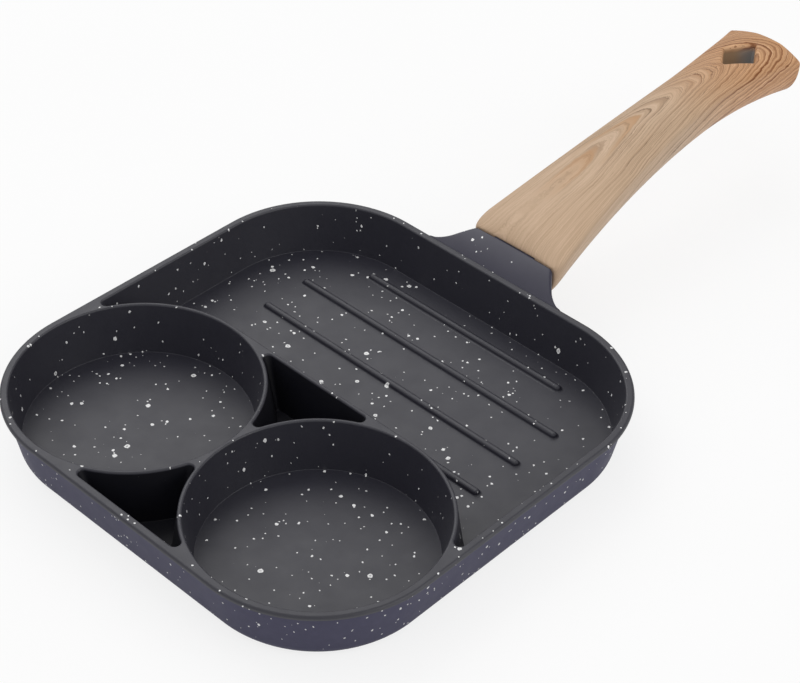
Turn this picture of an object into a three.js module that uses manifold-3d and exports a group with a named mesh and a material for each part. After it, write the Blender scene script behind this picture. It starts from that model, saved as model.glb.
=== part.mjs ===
// Square egg pan: a coated die-cast pan with two round wells, a ribbed compartment and two small pockets,
// and a wood-look grip that one screw from below holds on the casting's tang.
// Millimetres. The origin is the centre of the flat underside, +Y runs along the handle and +Z is up.

import * as THREE from 'three';
import { mergeVertices } from 'three/addons/utils/BufferGeometryUtils.js';
import Module from 'manifold-3d';

const wasm = await Module();
wasm.setup();

const { degToRad, lerp } = THREE.MathUtils;

// Pan casting
const PAN_WIDTH = 190;
const PAN_LENGTH = 190;
const PAN_HEIGHT = 25;
const CORNER_RADIUS = 49.5;
const FLOOR_THICKNESS = 4.5;
const RIM_WIDTH = 3.4;
const WEB_WIDTH = 1.7;
const EDGE_ROUND = 0.8;
const FLOOR_FILLET = 0.7;
const INNER_DRAFT = degToRad(8.5);
const POCKET_CORNER = 2;
const POCKET_CORNER_LEAST = 0.9;

// Outside of the casting: a small lip under the rim, a leaning wall and a round foot
const LIP_HEIGHT = 1.8;
const LIP_STEP = 1.5;
const LIP_ROUND = 1.2;
const LIP_UNDERCUT = 0.4;
const OUTER_DRAFT = degToRad(10.7);
const BASE_ROUND = 6.5;

// Ribs on the floor of the long compartment, the last one shorter
const RIB_COUNT = 4;
const RIB_WIDTH = 3;
const RIB_HEIGHT = 1.8;
const RIB_ROUND = 1.2;
const RIB_WALL_GAP = 13.5;
const RIB_END_GAP = 26;
const LAST_RIB_END_GAP = 42;

// Joint between the lug and the grip, with heights above the rim
const LUG_REACH = 11.5;
const LUG_SPREAD = 11.5;
const LUG_UNDER_SPREAD = 5;
const LUG_BOW = 1.15;
const LUG_TOP_BOW = 1.5;
const LUG_FLARE = 4.5;
const LUG_ROOT_DROP = 0.9;
const LUG_ROOT = 4;
const JOINT_WIDTH = 39.6;
const JOINT_TOP = 5.6;
const JOINT_DEPTH = 13.5;
const JOINT_CORNER = 1.8;
const JOINT_UNDER_WIDTH = 2.6;
const JOINT_UNDER_HEIGHT = 7;
const JOINT_CROWN = 0.3;

// Grip, with heights above the rim and places measured along +Y from the joint.
// Its section has a crowned top, small upper edges and wide elliptic corners below.
const GRIP_LENGTH = 163.4;
const GRIP_ROOT_WIDTH = 45;
const GRIP_WAIST_WIDTH = 24.8;
const GRIP_END_WIDTH = 36.2;
const GRIP_ROOT_EDGE_HEIGHT = 4.9;
const GRIP_PEAK_EDGE_HEIGHT = 28.5;
const GRIP_WAIST_PLACE = 109.6;
const GRIP_PEAK_PLACE = 133.3;
const GRIP_BOW = 1.75;
const GRIP_CROWN = 2.7;
const GRIP_EDGE = 2;
const GRIP_SIDE_DEPTH = 17;
const GRIP_SIDE_FLAT = 1.5;
const GRIP_UNDER_SHARE = 0.62;
const GRIP_FRONT_ROUND = 9;
const GRIP_TIP_WIDTH = 12.8;
const GRIP_TIP_CHAMFER = 2.3;

// Diamond hanging hole
const HOLE_LENGTH = 23.6;
const HOLE_WIDTH = 15.2;
const HOLE_FROM_END = 22;

// Tang, which is cast with the pan and runs up inside the grip
const TANG_WIDTH = 20;
const TANG_THICKNESS = 5;
const TANG_LENGTH = 34;
const TANG_ROOT = 0.5;
const TANG_COVER = 0.6;
const TANG_TILT = degToRad(15);

// Fastener under the grip
const SCREW_PLACE = 22;
const SCREW_DIAMETER = 5;
const SCREW_LENGTH = 12;
const SCREW_TIP_CHAMFER = 0.6;
const HEAD_DIAMETER = 9;
const HEAD_HEIGHT = 2.6;
const HEAD_ROUND = 1.2;
const RECESS_LENGTH = 4.6;
const RECESS_WIDTH = 1;
const RECESS_DEPTH = 1.5;
const FLAT_WASHER_DIAMETER = 10;
const FLAT_WASHER_THICKNESS = 1;
const SPRING_WASHER_DIAMETER = 8.6;
const SPRING_WASHER_THICKNESS = 1.2;
const SPRING_WASHER_SPLIT = degToRad(14);
const SEAT_WALL = 3.6;
const FIT_GAP = 0.3;

// How finely the round stretches are cut, and how far a cut runs past a face
const ROUND_STEPS = 4;
const EDGE_STEPS = 2;
const CORNER_STEPS = 12;
const WELL_STEPS = 64;
const ARC_STEPS = 12;
const SMALL_CORNER_STEPS = 4;
const LUG_STATIONS = 24;
const GRIP_STATIONS = 20;
const GRIP_CORNER_STEPS = 8;
const PIN_SIDES = 24;
const CUT_PAST = 2;
const MERGE_DISTANCE = 1e-4;

// Places worked out from the sizes above
const INNER_HALF_WIDTH = PAN_WIDTH / 2 - RIM_WIDTH;
const INNER_HALF_LENGTH = PAN_LENGTH / 2 - RIM_WIDTH;
const WELL_RADIUS = (INNER_HALF_WIDTH - WEB_WIDTH / 2) / 2;
const WELL_X = WELL_RADIUS + WEB_WIDTH / 2;
const WELL_Y = WELL_RADIUS - INNER_HALF_LENGTH;
const WELL_WALL_RADIUS = WELL_RADIUS + WEB_WIDTH;
const JOINT_Y = PAN_LENGTH / 2 + LUG_REACH;
const LUG_WALL_Y = PAN_LENGTH / 2 - LIP_STEP;
const GRIP_START_Y = JOINT_Y + FIT_GAP;
const GRIP_END_Y = GRIP_START_Y + GRIP_LENGTH;

const RIGHT_ANGLE = Math.PI / 2;
const HALF_TURN = Math.PI;

// Even shares from 0 to 1, both ends included.
function shares(steps) {
  return Array.from({ length: steps + 1 }, (_, step) => step / steps);
}

function ellipse(centreX, centreY, radiusX, radiusY, from, to, steps) {
  return shares(steps).map((share) => {
    const angle = lerp(from, to, share);
    return new THREE.Vector2(centreX + radiusX * Math.cos(angle), centreY + radiusY * Math.sin(angle));
  });
}

function arc(centreX, centreY, radius, from, to, steps) {
  return ellipse(centreX, centreY, radius, radius, from, to, steps);
}

// A closed solid through rings of equally many points; flatten turns a ring's point into a flat one.
function loft(rings, flatten) {
  const count = rings[0].length;
  const last = (rings.length - 1) * count;
  const indices = [];
  for (let start = 0; start < last; start += count) {
    for (let side = 0; side < count; side += 1) {
      const here = start + side;
      const next = start + (side + 1) % count;
      indices.push(here, next, next + count, here, next + count, here + count);
    }
  }
  const cap = (ring) => THREE.ShapeUtils.triangulateShape(ring.map(flatten), []);
  for (const [a, b, c] of cap(rings[0])) {
    indices.push(c, b, a);
  }
  for (const [a, b, c] of cap(rings.at(-1))) {
    indices.push(last + a, last + b, last + c);
  }
  const geometry = new THREE.BufferGeometry().setFromPoints(rings.flat());
  geometry.setIndex(indices);
  return geometry;
}

// Solid whose outline changes with its inset from level to level, from the lowest to the highest.
function loftLevels(levels, outline) {
  const ring = ({ z, inset }) => outline(inset).map((point) => new THREE.Vector3(point.x, point.y, z));
  return loft(levels.map(ring), (point) => new THREE.Vector2(point.x, point.y));
}

// Solid through upright sections that follow each other along +Y.
function loftSections(sections) {
  return loft(sections, (point) => new THREE.Vector2(point.z, point.x));
}

function solid(geometry) {
  const bare = geometry.clone();
  bare.deleteAttribute('normal');
  bare.deleteAttribute('uv');
  const merged = mergeVertices(bare, MERGE_DISTANCE);
  return new wasm.Manifold(new wasm.Mesh({
    numProp: 3,
    vertProperties: new Float32Array(merged.attributes.position.array),
    triVerts: new Uint32Array(merged.index.array),
  }));
}

function meshOf(name, shape, material) {
  const { vertProperties, triVerts } = shape.getMesh();
  const geometry = new THREE.BufferGeometry();
  geometry.setAttribute('position', new THREE.BufferAttribute(vertProperties, 3));
  geometry.setIndex(new THREE.BufferAttribute(triVerts, 1));
  geometry.computeVertexNormals();
  const mesh = new THREE.Mesh(geometry, material);
  mesh.name = name;
  return mesh;
}

// Heights and insets of the round between a flat and the leaning wall that rises from it.
function footLevels(radius, draft, footZ, topZ, topInset) {
  const rise = topZ - footZ - radius * (1 - Math.sin(draft));
  const centre = topInset + rise * Math.tan(draft) + radius * Math.cos(draft);
  return shares(ROUND_STEPS).map((share) => {
    const angle = share * (RIGHT_ANGLE - draft);
    return { z: footZ + radius * (1 - Math.cos(angle)), inset: centre - radius * Math.sin(angle) };
  });
}

// Heights and insets of the round between a wall and the rim's flat top.
function topLevels(radius, towardsMiddle) {
  return shares(EDGE_STEPS).map((share) => {
    const angle = share * RIGHT_ANGLE;
    const inset = towardsMiddle * radius * (1 - Math.cos(angle));
    return { z: PAN_HEIGHT - radius * (1 - Math.sin(angle)), inset };
  });
}

function panOutline(inset) {
  const x = PAN_WIDTH / 2 - CORNER_RADIUS;
  const y = PAN_LENGTH / 2 - CORNER_RADIUS;
  const radius = CORNER_RADIUS - inset;
  return [
    ...arc(x, y, radius, 0, RIGHT_ANGLE, CORNER_STEPS),
    ...arc(-x, y, radius, RIGHT_ANGLE, 2 * RIGHT_ANGLE, CORNER_STEPS),
    ...arc(-x, -y, radius, 2 * RIGHT_ANGLE, 3 * RIGHT_ANGLE, CORNER_STEPS),
    ...arc(x, -y, radius, 3 * RIGHT_ANGLE, 4 * RIGHT_ANGLE, CORNER_STEPS),
  ];
}

function outerBody() {
  const lipZ = PAN_HEIGHT - LIP_HEIGHT;
  const levels = [
    ...footLevels(BASE_ROUND, OUTER_DRAFT, 0, lipZ, LIP_STEP),
    { z: lipZ, inset: LIP_STEP },
    { z: lipZ + LIP_UNDERCUT, inset: 0 },
    ...topLevels(LIP_ROUND, 1),
  ];
  return solid(loftLevels(levels, panOutline));
}

// A recess from its floor to past the rim, cut wider where the rim's edge is rounded.
function recess(outline) {
  const levels = [
    ...footLevels(FLOOR_FILLET, INNER_DRAFT, FLOOR_THICKNESS, PAN_HEIGHT, 0),
    ...topLevels(EDGE_ROUND, -1),
    { z: PAN_HEIGHT + CUT_PAST, inset: -EDGE_ROUND },
  ];
  return solid(loftLevels(levels, outline));
}

function wellOutline(side, inset) {
  return arc(side * WELL_X, WELL_Y, WELL_RADIUS - inset, 0, 2 * HALF_TURN, WELL_STEPS).slice(0, -1);
}

// Small round in a sharp corner; deep in the recess it gets tighter, down to a least radius.
function cornerRadius(inset) {
  return Math.max(POCKET_CORNER - inset, POCKET_CORNER_LEAST);
}

// Long compartment: the back corners, the wells' outer walls and the partition that touches both.
function grillOutline(inset) {
  const backX = PAN_WIDTH / 2 - CORNER_RADIUS;
  const backY = PAN_LENGTH / 2 - CORNER_RADIUS;
  const backRadius = CORNER_RADIUS - RIM_WIDTH - inset;
  const small = cornerRadius(inset);
  const cornerX = INNER_HALF_WIDTH - inset - small;
  const reach = WELL_WALL_RADIUS + inset;
  const cornerY = WELL_Y + Math.sqrt((reach + small) ** 2 - (cornerX - WELL_X) ** 2);
  const lean = Math.atan2(cornerY - WELL_Y, cornerX - WELL_X);
  return [
    ...arc(backX, backY, backRadius, 0, RIGHT_ANGLE, CORNER_STEPS),
    ...arc(-backX, backY, backRadius, RIGHT_ANGLE, HALF_TURN, CORNER_STEPS),
    ...arc(-cornerX, cornerY, small, HALF_TURN, 2 * HALF_TURN - lean, SMALL_CORNER_STEPS),
    ...arc(-WELL_X, WELL_Y, reach, HALF_TURN - lean, RIGHT_ANGLE, ARC_STEPS).slice(1),
    ...arc(WELL_X, WELL_Y, reach, RIGHT_ANGLE, lean, ARC_STEPS).slice(0, -1),
    ...arc(cornerX, cornerY, small, HALF_TURN + lean, 2 * HALF_TURN, SMALL_CORNER_STEPS),
  ];
}

// Three-cornered pocket between the two wells and a straight wall, drawn from the wells' centre line.
function pocketOutline(inset) {
  const small = cornerRadius(inset);
  const reach = WELL_WALL_RADIUS + inset;
  const span = reach + small;
  const wallY = WELL_RADIUS - inset - small;
  const wallAngle = Math.asin(wallY / span);
  const wallX = WELL_X - span * Math.cos(wallAngle);
  const tipAngle = Math.acos(WELL_X / span);
  const tipY = span * Math.sin(tipAngle);
  return [
    ...arc(wallX, wallY, small, -wallAngle, RIGHT_ANGLE, SMALL_CORNER_STEPS),
    ...arc(-wallX, wallY, small, RIGHT_ANGLE, HALF_TURN + wallAngle, SMALL_CORNER_STEPS),
    ...arc(-WELL_X, 0, reach, wallAngle, tipAngle, ARC_STEPS).slice(1, -1),
    ...arc(0, tipY, small, HALF_TURN + tipAngle, 2 * HALF_TURN - tipAngle, SMALL_CORNER_STEPS),
    ...arc(WELL_X, 0, reach, HALF_TURN - tipAngle, HALF_TURN - wallAngle, ARC_STEPS).slice(1, -1),
  ];
}

function centrePocketOutline(inset) {
  return pocketOutline(inset).map((point) => new THREE.Vector2(point.x, WELL_Y + point.y));
}

function frontPocketOutline(inset) {
  return pocketOutline(inset).map((point) => new THREE.Vector2(point.x, WELL_Y - point.y)).reverse();
}

function rib(halfLength, y) {
  const half = RIB_WIDTH / 2 - RIB_ROUND;
  const straight = halfLength - RIB_WIDTH / 2;
  const shape = new THREE.Shape();
  shape.absarc(straight, 0, half, -RIGHT_ANGLE, RIGHT_ANGLE);
  shape.absarc(-straight, 0, half, RIGHT_ANGLE, 3 * RIGHT_ANGLE);
  const geometry = new THREE.ExtrudeGeometry(shape, {
    depth: RIB_HEIGHT,
    bevelThickness: RIB_ROUND,
    bevelSize: RIB_ROUND,
    bevelSegments: EDGE_STEPS,
    curveSegments: SMALL_CORNER_STEPS,
  });
  geometry.translate(0, y, FLOOR_THICKNESS - RIB_ROUND);
  return solid(geometry);
}

function ribs() {
  const first = WELL_Y + WELL_WALL_RADIUS + RIB_WALL_GAP;
  const last = INNER_HALF_LENGTH - RIB_WALL_GAP;
  return shares(RIB_COUNT - 1).map((share, index) => {
    const endGap = index === RIB_COUNT - 1 ? LAST_RIB_END_GAP : RIB_END_GAP;
    return rib(INNER_HALF_WIDTH - endGap, lerp(first, last, share));
  });
}

// Upright section across the handle at one place along +Y. The crowned top meets each side in a round edge
// whose centre lies at the edge height, and elliptic corners lead from the sides to the underside.
function section(y, { halfWidth, edgeHeight, crown, edge, bottom, underWidth, underHeight }) {
  const edgeX = halfWidth - edge;
  const rise = crown + edge;
  const crownRadius = (edgeX ** 2 + rise ** 2 - edge ** 2) / (2 * crown);
  const crownCentre = edgeHeight + rise - crownRadius;
  const lean = Math.atan2(edgeHeight - crownCentre, edgeX);
  const underX = halfWidth - underWidth;
  const underZ = bottom + underHeight;
  const outline = [
    ...arc(edgeX, edgeHeight, edge, 0, lean, SMALL_CORNER_STEPS),
    ...arc(0, crownCentre, crownRadius, lean, HALF_TURN - lean, GRIP_CORNER_STEPS).slice(1, -1),
    ...arc(-edgeX, edgeHeight, edge, HALF_TURN - lean, HALF_TURN, SMALL_CORNER_STEPS),
    ...ellipse(-underX, underZ, underWidth, underHeight, HALF_TURN, 3 * RIGHT_ANGLE, GRIP_CORNER_STEPS),
    ...ellipse(underX, underZ, underWidth, underHeight, 3 * RIGHT_ANGLE, 2 * HALF_TURN, GRIP_CORNER_STEPS),
  ];
  return outline.map((point) => new THREE.Vector3(point.x, y, point.y)).reverse();
}

const JOINT_SECTION = {
  halfWidth: JOINT_WIDTH / 2,
  edgeHeight: PAN_HEIGHT + JOINT_TOP - JOINT_CROWN - JOINT_CORNER,
  crown: JOINT_CROWN,
  edge: JOINT_CORNER,
  bottom: PAN_HEIGHT + JOINT_TOP - JOINT_DEPTH,
  underWidth: JOINT_UNDER_WIDTH,
  underHeight: JOINT_UNDER_HEIGHT,
};

// Place along +Y of the pan's back face at a height: the lip, or the leaning wall that it steps out from.
function backFaceY(z) {
  const below = Math.max(PAN_HEIGHT - LIP_HEIGHT - z, 0);
  return PAN_LENGTH / 2 - Math.min(below, LIP_STEP) - below * Math.tan(OUTER_DRAFT);
}

// How far the lug's sides flare out at a distance behind the pan's back face.
function lugFlare(distance) {
  const run = LUG_FLARE - Math.min(Math.max(distance, 0), LUG_FLARE);
  return LUG_FLARE - Math.sqrt(LUG_FLARE ** 2 - run ** 2);
}

// Section of the lug at a place along +Y; its top bows down to the rim, and its sides flare out to the pan.
function lugSection(y) {
  const short = Math.min((JOINT_Y - y) / (JOINT_Y - LUG_WALL_Y), 1);
  const spread = short ** LUG_BOW;
  const drop = short ** LUG_TOP_BOW * (LUG_ROOT_DROP + JOINT_TOP);
  const halfWidth = JOINT_SECTION.halfWidth + LUG_SPREAD * spread;
  const points = section(y, {
    ...JOINT_SECTION,
    halfWidth,
    edgeHeight: JOINT_SECTION.edgeHeight - drop,
    bottom: JOINT_SECTION.bottom - LUG_UNDER_SPREAD * spread,
  });
  for (const point of points) {
    point.x *= 1 + lugFlare(y - backFaceY(point.z)) / halfWidth;
  }
  return points;
}

function lug() {
  const places = shares(LUG_STATIONS).map((share) => lerp(LUG_WALL_Y - LUG_ROOT, JOINT_Y, share));
  return solid(loftSections(places.map(lugSection)));
}

// The frame that the tang and its fastener share: its Y runs up the tang from the joint.
function placeOnTang(object) {
  object.position.set(0, JOINT_Y, PAN_HEIGHT + JOINT_TOP - TANG_COVER - TANG_THICKNESS / 2);
  object.rotation.x = TANG_TILT;
  object.updateMatrix();
  return object;
}

const TANG_MATRIX = placeOnTang(new THREE.Object3D()).matrix;

// Bar along the tang's frame, grown all round by a clearance, from a place before the joint.
function tangBar(clearance, before) {
  const length = before + TANG_LENGTH + clearance;
  const geometry = new THREE.BoxGeometry(
    TANG_WIDTH + 2 * clearance,
    length,
    TANG_THICKNESS + 2 * clearance,
  );
  geometry.translate(0, length / 2 - before, 0);
  geometry.applyMatrix4(TANG_MATRIX);
  return solid(geometry);
}

// Round cut along the screw's axis, between two heights in the tang's frame.
function screwCut(diameter, low, high) {
  const geometry = new THREE.CylinderGeometry(diameter / 2, diameter / 2, high - low, PIN_SIDES);
  geometry.rotateX(RIGHT_ANGLE);
  geometry.translate(0, SCREW_PLACE, (low + high) / 2);
  geometry.applyMatrix4(TANG_MATRIX);
  return solid(geometry);
}

// Heights of the fastener's stack in the tang's frame, from the seat in the grip downwards.
const SEAT_Z = -TANG_THICKNESS / 2 - FIT_GAP - SEAT_WALL;
const FLAT_WASHER_Z = SEAT_Z - FIT_GAP - FLAT_WASHER_THICKNESS;
const SPRING_WASHER_Z = FLAT_WASHER_Z - FIT_GAP - SPRING_WASHER_THICKNESS;
const HEAD_Z = SPRING_WASHER_Z - FIT_GAP;
const SCREW_HOLE_DIAMETER = SCREW_DIAMETER + 2 * FIT_GAP;
const COUNTERBORE_DIAMETER = FLAT_WASHER_DIAMETER + 2 * FIT_GAP;

function panBody() {
  let body = outerBody().add(lug()).add(tangBar(0, TANG_ROOT));
  for (const side of [-1, 1]) {
    body = body.subtract(recess((inset) => wellOutline(side, inset)));
  }
  for (const outline of [grillOutline, centrePocketOutline, frontPocketOutline]) {
    body = body.subtract(recess(outline));
  }
  for (const bar of ribs()) {
    body = body.add(bar);
  }
  return body.subtract(screwCut(SCREW_HOLE_DIAMETER, -TANG_THICKNESS, TANG_THICKNESS));
}

// Grip section at a distance from its front face, before the front is rounded.
function gripSizes(along) {
  const endRun = GRIP_LENGTH - GRIP_TIP_CHAMFER - GRIP_WAIST_PLACE;
  const before = Math.max(GRIP_WAIST_PLACE - along, 0) / GRIP_WAIST_PLACE;
  const behind = Math.max(along - GRIP_WAIST_PLACE, 0) / endRun;
  const towardsRoot = (GRIP_ROOT_WIDTH - GRIP_WAIST_WIDTH) * before ** GRIP_BOW;
  const towardsEnd = (GRIP_END_WIDTH - GRIP_WAIST_WIDTH) * behind ** GRIP_BOW;
  const halfWidth = (GRIP_WAIST_WIDTH + towardsRoot + towardsEnd) / 2;
  const fromPeak = Math.abs(GRIP_PEAK_PLACE - along) / GRIP_PEAK_PLACE;
  const edgeHeight = PAN_HEIGHT + lerp(GRIP_PEAK_EDGE_HEIGHT, GRIP_ROOT_EDGE_HEIGHT, fromPeak ** GRIP_BOW);
  return {
    halfWidth,
    edgeHeight,
    crown: GRIP_CROWN,
    edge: GRIP_EDGE,
    bottom: edgeHeight - GRIP_SIDE_DEPTH,
    underWidth: GRIP_UNDER_SHARE * halfWidth,
    underHeight: GRIP_SIDE_DEPTH - GRIP_SIDE_FLAT,
  };
}

// The grip's front face has the lug's outline and grows to the full section over an elliptic round.
function gripSection(along) {
  const short = Math.max(1 - along / GRIP_FRONT_ROUND, 0);
  const grown = Math.sqrt(1 - short ** 2);
  const sizes = gripSizes(along);
  for (const name of Object.keys(sizes)) {
    sizes[name] = lerp(JOINT_SECTION[name], sizes[name], grown);
  }
  return section(GRIP_START_Y + along, sizes);
}

// Upright prism over a plan outline, from below the grip to above it.
function gripPrism(points) {
  const past = 2 * GRIP_SIDE_DEPTH;
  const depth = GRIP_PEAK_EDGE_HEIGHT + 2 * past;
  const geometry = new THREE.ExtrudeGeometry(new THREE.Shape(points), { depth, bevelEnabled: false });
  geometry.translate(0, 0, PAN_HEIGHT - past);
  return solid(geometry);
}

// Plan outline that trims the grip's end to a blunt point.
function tipTrim() {
  const slope = GRIP_TIP_CHAMFER / (GRIP_END_WIDTH - GRIP_TIP_WIDTH);
  const shoulderY = GRIP_END_Y - slope * (GRIP_ROOT_WIDTH - GRIP_TIP_WIDTH);
  const points = [
    new THREE.Vector2(GRIP_ROOT_WIDTH / 2, shoulderY),
    new THREE.Vector2(GRIP_TIP_WIDTH / 2, GRIP_END_Y),
    new THREE.Vector2(-GRIP_TIP_WIDTH / 2, GRIP_END_Y),
    new THREE.Vector2(-GRIP_ROOT_WIDTH / 2, shoulderY),
    new THREE.Vector2(-GRIP_ROOT_WIDTH / 2, JOINT_Y),
    new THREE.Vector2(GRIP_ROOT_WIDTH / 2, JOINT_Y),
  ];
  return gripPrism(points);
}

function hangingHole() {
  const middleY = GRIP_END_Y - HOLE_FROM_END;
  return gripPrism([
    new THREE.Vector2(0, middleY - HOLE_LENGTH / 2),
    new THREE.Vector2(HOLE_WIDTH / 2, middleY),
    new THREE.Vector2(0, middleY + HOLE_LENGTH / 2),
    new THREE.Vector2(-HOLE_WIDTH / 2, middleY),
  ]);
}

function handleGrip() {
  const front = shares(ROUND_STEPS).map((share) => GRIP_FRONT_ROUND * share ** 2);
  const rest = shares(GRIP_STATIONS).map((share) => lerp(GRIP_FRONT_ROUND, GRIP_LENGTH, share)).slice(1);
  const sections = [...front, ...rest].map(gripSection);
  return solid(loftSections(sections))
    .intersect(tipTrim())
    .subtract(tangBar(FIT_GAP, CUT_PAST))
    .subtract(screwCut(SCREW_HOLE_DIAMETER, SEAT_Z - CUT_PAST, 0))
    .subtract(screwCut(COUNTERBORE_DIAMETER, SEAT_Z - GRIP_SIDE_DEPTH, SEAT_Z))
    .subtract(hangingHole());
}

// Screw along +Z with its head below the origin and a cross recess in the head.
function screw() {
  const radius = SCREW_DIAMETER / 2;
  const headRadius = HEAD_DIAMETER / 2;
  const roundX = headRadius - HEAD_ROUND;
  const roundZ = HEAD_ROUND - HEAD_HEIGHT;
  const profile = [
    new THREE.Vector2(0, -HEAD_HEIGHT),
    ...arc(roundX, roundZ, HEAD_ROUND, -RIGHT_ANGLE, 0, EDGE_STEPS),
    new THREE.Vector2(headRadius, 0),
    new THREE.Vector2(radius, 0),
    new THREE.Vector2(radius, SCREW_LENGTH - SCREW_TIP_CHAMFER),
    new THREE.Vector2(radius - SCREW_TIP_CHAMFER, SCREW_LENGTH),
    new THREE.Vector2(0, SCREW_LENGTH),
  ];
  const blank = solid(new THREE.LatheGeometry(profile, PIN_SIDES).rotateX(RIGHT_ANGLE));
  const slot = new THREE.BoxGeometry(RECESS_LENGTH, RECESS_WIDTH, 2 * RECESS_DEPTH);
  slot.translate(0, 0, -HEAD_HEIGHT);
  const crossSlot = slot.clone().rotateZ(RIGHT_ANGLE);
  return blank.subtract(solid(slot)).subtract(solid(crossSlot));
}

// Flat ring around the screw, cut open where it is split.
function washer(diameter, thickness, split) {
  const outer = diameter / 2;
  const inner = SCREW_DIAMETER / 2 + FIT_GAP;
  const shape = new THREE.Shape();
  if (split > 0) {
    shape.absarc(0, 0, outer, split / 2, 2 * HALF_TURN - split / 2, false);
    shape.absarc(0, 0, inner, 2 * HALF_TURN - split / 2, split / 2, true);
  } else {
    shape.absarc(0, 0, outer, 0, 2 * HALF_TURN, false);
    shape.holes.push(new THREE.Path().absarc(0, 0, inner, 0, 2 * HALF_TURN, true));
  }
  const curveSegments = PIN_SIDES;
  return solid(new THREE.ExtrudeGeometry(shape, { depth: thickness, bevelEnabled: false, curveSegments }));
}

const coating = new THREE.MeshStandardMaterial({ color: 0x34353b, roughness: 0.5, metalness: 0.1 });
const woodLook = new THREE.MeshStandardMaterial({ color: 0xc6a585, roughness: 0.55, metalness: 0 });
const steel = new THREE.MeshStandardMaterial({ color: 0xb8bbbf, roughness: 0.35, metalness: 1 });

const handleScrew = meshOf('handle_screw', screw(), steel);
handleScrew.position.set(0, SCREW_PLACE, HEAD_Z);
const springWasher = meshOf(
  'spring_washer',
  washer(SPRING_WASHER_DIAMETER, SPRING_WASHER_THICKNESS, SPRING_WASHER_SPLIT),
  steel,
);
springWasher.position.set(0, SCREW_PLACE, SPRING_WASHER_Z);
const flatWasher = meshOf('flat_washer', washer(FLAT_WASHER_DIAMETER, FLAT_WASHER_THICKNESS, 0), steel);
flatWasher.position.set(0, SCREW_PLACE, FLAT_WASHER_Z);

const fastener = placeOnTang(new THREE.Group());
fastener.add(handleScrew, springWasher, flatWasher);

const eggPan = new THREE.Group();
eggPan.name = 'square_egg_pan';
eggPan.add(meshOf('pan_body', panBody(), coating), meshOf('handle_grip', handleGrip(), woodLook), fastener);

export default eggPan;
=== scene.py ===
"""Looks of the square egg pan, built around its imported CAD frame.

Metres. The origin is the centre of the flat underside, +Y runs along the handle and +Z is up.
"""

import math

import bpy
from mathutils import Matrix, Vector


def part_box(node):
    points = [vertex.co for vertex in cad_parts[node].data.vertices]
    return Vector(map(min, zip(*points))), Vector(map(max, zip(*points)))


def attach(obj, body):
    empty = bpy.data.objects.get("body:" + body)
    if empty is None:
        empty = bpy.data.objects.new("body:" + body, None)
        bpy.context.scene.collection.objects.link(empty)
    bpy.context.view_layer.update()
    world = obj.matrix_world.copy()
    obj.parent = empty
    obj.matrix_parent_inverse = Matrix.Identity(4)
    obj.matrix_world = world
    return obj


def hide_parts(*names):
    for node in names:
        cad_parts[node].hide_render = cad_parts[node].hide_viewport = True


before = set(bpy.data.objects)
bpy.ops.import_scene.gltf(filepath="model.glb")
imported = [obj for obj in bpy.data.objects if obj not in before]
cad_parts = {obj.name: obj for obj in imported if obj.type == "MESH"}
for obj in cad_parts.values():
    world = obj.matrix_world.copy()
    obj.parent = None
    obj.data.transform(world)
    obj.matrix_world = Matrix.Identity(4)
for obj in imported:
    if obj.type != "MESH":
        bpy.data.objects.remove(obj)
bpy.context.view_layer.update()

MM = 0.001
RIGHT_ANGLE = math.pi / 2
HALF_TURN = math.pi
FULL_TURN = 2 * math.pi

# Sizes taken from the frame
PAN_LOW, PAN_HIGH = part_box("pan_body")
GRIP_LOW, GRIP_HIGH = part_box("handle_grip")
HALF_WIDTH = PAN_HIGH.x
HALF_LENGTH = -PAN_LOW.y
GRIP_START = GRIP_LOW.y
GRIP_END = GRIP_HIGH.y
GRIP_LENGTH = GRIP_END - GRIP_START

# Pan casting
PAN_HEIGHT = 25 * MM
CORNER_RADIUS = 49.5 * MM
FLOOR_THICKNESS = 4.5 * MM
RIM_WIDTH = 3.4 * MM
WEB_WIDTH = 1.7 * MM
EDGE_ROUND = 0.8 * MM
FLOOR_FILLET = 0.2 * MM
INNER_DRAFT = math.radians(8.5)
POCKET_CORNER = 2 * MM
POCKET_CORNER_LEAST = 0.9 * MM

# Outside of the casting: a small lip under the rim, a leaning wall and a round foot
LIP_HEIGHT = 1.8 * MM
LIP_STEP = 1.5 * MM
LIP_ROUND = 1.2 * MM
LIP_UNDERCUT = 0.4 * MM
OUTER_DRAFT = math.radians(10.7)
BASE_ROUND = 6.5 * MM

# Ribs on the floor of the long compartment, the last one shorter
RIB_COUNT = 4
RIB_WIDTH = 3 * MM
RIB_HEIGHT = 1.8 * MM
RIB_ROUND = 1.45 * MM
RIB_FOOT = 0.8 * MM
RIB_WALL_GAP = 13.5 * MM
RIB_END_GAP = 26 * MM
LAST_RIB_END_GAP = 42 * MM

# Joint between the lug and the grip, with heights above the rim.
# A face of the lug that looks up by at least the given share has the lug's own coat.
FIT_GAP = 0.3 * MM
LUG_SPREAD = 11.5 * MM
LUG_UNDER_SPREAD = 5 * MM
LUG_BOW = 1.15
LUG_TOP_BOW = 1.5
LUG_FLARE = 4.5 * MM
LUG_ROOT_DROP = 0.9 * MM
LUG_ROOT = 4 * MM
LUG_END_ROUND = 0.8 * MM
LUG_LEAST_UP = 0.3
JOINT_WIDTH = 39.6 * MM
JOINT_TOP = 5.6 * MM
JOINT_DEPTH = 13.5 * MM
JOINT_CORNER = 1.8 * MM
JOINT_UNDER_WIDTH = 2.6 * MM
JOINT_UNDER_HEIGHT = 7 * MM
JOINT_CROWN = 0.3 * MM

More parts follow.
